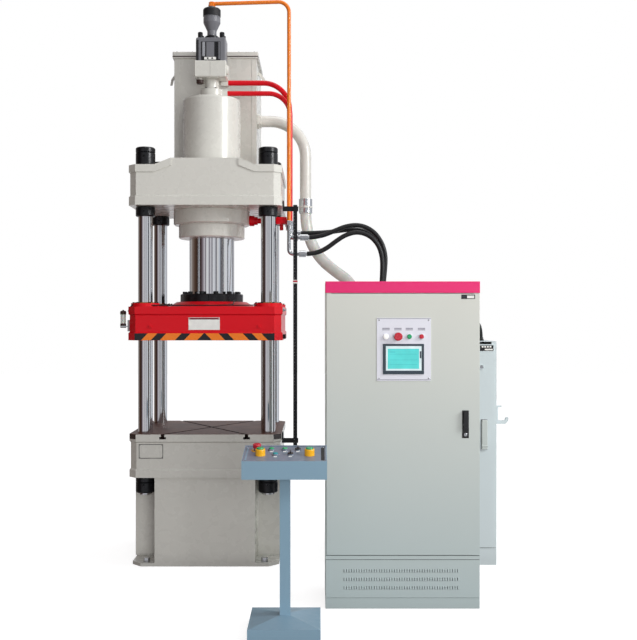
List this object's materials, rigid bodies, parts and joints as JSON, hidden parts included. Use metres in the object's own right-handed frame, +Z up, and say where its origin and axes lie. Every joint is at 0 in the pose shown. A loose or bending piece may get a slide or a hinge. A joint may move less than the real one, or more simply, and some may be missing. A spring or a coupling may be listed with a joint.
{
  "type": "hydraulic press",
  "caption": "Four-column hydraulic press with a down-stroking ram and platen, overhead oil tank, power unit, electric cabinets and a two-hand operator desk.",
  "frame": {"origin": "on the floor, at the centre of the base frame's four anchor holes, under the ram's axis", "axes": "+Z up along the ram's axis, the operator stands at -Y, the electric cabinets are at +X"},
  "size_m": [2.335, 2.516, 3.5645],
  "materials": {
    "cream_paint": "satin machine enamel",
    "red_paint": "gloss enamel",
    "chrome": "hard chrome, polished",
    "black_oxide": "black oxide",
    "bronze": "turned",
    "bare_steel": "machined",
    "valve_grey": "cast and painted",
    "orange_paint": "gloss enamel",
    "hose_rubber": "braided hose cover",
    "clear_pvc": "translucent reinforced tube",
    "unit_paint": "satin enamel",
    "cabinet_paint": "fine texture powder coat",
    "pale_blue_paint": "powder coat",
    "panel_aluminium": "anodised sheet",
    "desk_paint": "powder coat",
    "black_plastic": "moulded",
    "red_plastic": "moulded",
    "green_plastic": "moulded",
    "yellow_plastic": "moulded"
  },
  "bodies": {
    "root": {"base_frame": "cream_paint", "bed_table": "cream_paint", "crosshead": "cream_paint", "cylinder_barrel": "cream_paint", "cylinder_lock_nut": "cream_paint", "gland_housing": "cream_paint", "cylinder_cap": "cream_paint", "prefill_valve_block": "cream_paint", "oil_tank": "cream_paint", "tank_lid": "cream_paint", "tank_brackets": "cream_paint", "suction_pipe": "cream_paint", "pressure_pipes": "red_paint", "cross_pipe": "red_paint", "column_front_left": "chrome", "column_front_right": "chrome", "column_rear_left": "chrome", "column_rear_right": "chrome", "column_nuts": "black_oxide", "position_scale": "black_oxide", "hose_elbows": "bare_steel", "hose_fittings": "bare_steel", "pump_block": "bare_steel", "pilot_valve": "valve_grey", "pilot_solenoid": "valve_grey", "oil_pump": "valve_grey", "pilot_pipe": "orange_paint", "press_hose_upper": "hose_rubber", "press_hose_middle": "hose_rubber", "press_hose_lower": "hose_rubber", "cabinet_conduit": "hose_rubber", "suction_hose": "clear_pvc", "power_unit_skid": "unit_paint", "pump_motor": "unit_paint", "cabinet_shell": "cabinet_paint", "rear_cabinet_shell": "pale_blue_paint", "desk_stand": "desk_paint", "desk_box": "desk_paint", "desk_panel": "desk_paint", "button_shrouds": "yellow_plastic"},
    "ram": {"piston_rod": "chrome", "piston": "bare_steel", "rod_flange": "black_oxide", "platen": "red_paint", "platen_bushes": "bronze"},
    "main_door": {"cabinet_door": "cabinet_paint", "operator_panel": "panel_aluminium"},
    "main_lever": {"door_lever": "black_plastic"},
    "start_push": {"panel_start_push": "green_plastic"},
    "halt_push": {"panel_halt_push": "red_plastic"},
    "panel_stop": {"panel_stop_mushroom": "red_plastic"},
    "rear_door": {"rear_cabinet_door": "pale_blue_paint"},
    "rear_lever": {"rear_door_lever": "chrome"},
    "left_hand_push": {"two_hand_push_left": "green_plastic"},
    "right_hand_push": {"two_hand_push_right": "green_plastic"},
    "desk_stop": {"desk_stop_mushroom": "red_plastic"},
    "pump_push": {"desk_pump_push": "green_plastic"},
    "return_push": {"desk_return_push": "green_plastic"},
    "jog_push": {"desk_jog_push": "green_plastic"},
    "mode_knob": {"mode_selector": "black_plastic"},
    "speed_knob": {"speed_selector": "black_plastic"}
  },
  "joints": [
    {"name": "platen_slide", "type": "slide", "parent": "root", "child": "ram", "axis": [0, 0, 1], "range_m": [-0.35, 0.25]},
    {"name": "cabinet_door_swing", "type": "hinge", "parent": "root", "child": "main_door", "pos_m": [0.7355, -1.2335, 0.95], "axis": [0, 0, -1], "range_deg": [0, 85]},
    {"name": "door_lever_turn", "type": "hinge", "parent": "main_door", "child": "main_lever", "pos_m": [1.455, -1.2485, 0.959], "axis": [0, 1, 0], "range_deg": [0, 90]},
    {"name": "panel_start_press", "type": "slide", "parent": "main_door", "child": "start_push", "axis": [0, 1, 0], "range_m": [0, 0.004], "stiffness_N_per_m": 600},
    {"name": "panel_halt_press", "type": "slide", "parent": "main_door", "child": "halt_push", "axis": [0, 1, 0], "range_m": [0, 0.004], "stiffness_N_per_m": 600},
    {"name": "panel_stop_press", "type": "slide", "parent": "main_door", "child": "panel_stop", "axis": [0, 1, 0], "range_m": [0, 0.005]},
    {"name": "rear_door_swing", "type": "hinge", "parent": "root", "child": "rear_door", "pos_m": [1.1875, -0.3535, 0.73], "axis": [0, 0, -1], "range_deg": [0, 50]},
    {"name": "rear_lever_turn", "type": "hinge", "parent": "rear_door", "child": "rear_lever", "pos_m": [1.706, -0.3685, 0.73], "axis": [0, 1, 0], "range_deg": [0, 90]},
    {"name": "left_hand_press", "type": "slide", "parent": "root", "child": "left_hand_push", "axis": [0, 0.1657, -0.9862], "range_m": [0, 0.004], "stiffness_N_per_m": 600},
    {"name": "right_hand_press", "type": "slide", "parent": "root", "child": "right_hand_push", "axis": [0, 0.1657, -0.9862], "range_m": [0, 0.004], "stiffness_N_per_m": 600},
    {"name": "pump_press", "type": "slide", "parent": "root", "child": "pump_push", "axis": [0, 0.1657, -0.9862], "range_m": [0, 0.004], "stiffness_N_per_m": 600},
    {"name": "return_press", "type": "slide", "parent": "root", "child": "return_push", "axis": [0, 0.1657, -0.9862], "range_m": [0, 0.004], "stiffness_N_per_m": 600},
    {"name": "jog_press", "type": "slide", "parent": "root", "child": "jog_push", "axis": [0, 0.1657, -0.9862], "range_m": [0, 0.004], "stiffness_N_per_m": 600},
    {"name": "desk_stop_press", "type": "slide", "parent": "root", "child": "desk_stop", "axis": [0, 0.1657, -0.9862], "range_m": [0, 0.005]},
    {"name": "mode_turn", "type": "hinge", "parent": "root", "child": "mode_knob", "pos_m": [0.558, -1.626, 0.85598], "axis": [0, -0.1657, 0.9862], "range_deg": [-45, 45]},
    {"name": "speed_turn", "type": "hinge", "parent": "root", "child": "speed_knob", "pos_m": [0.592, -1.552, 0.86842], "axis": [0, -0.1657, 0.9862], "range_deg": [-45, 45]}
  ]
}
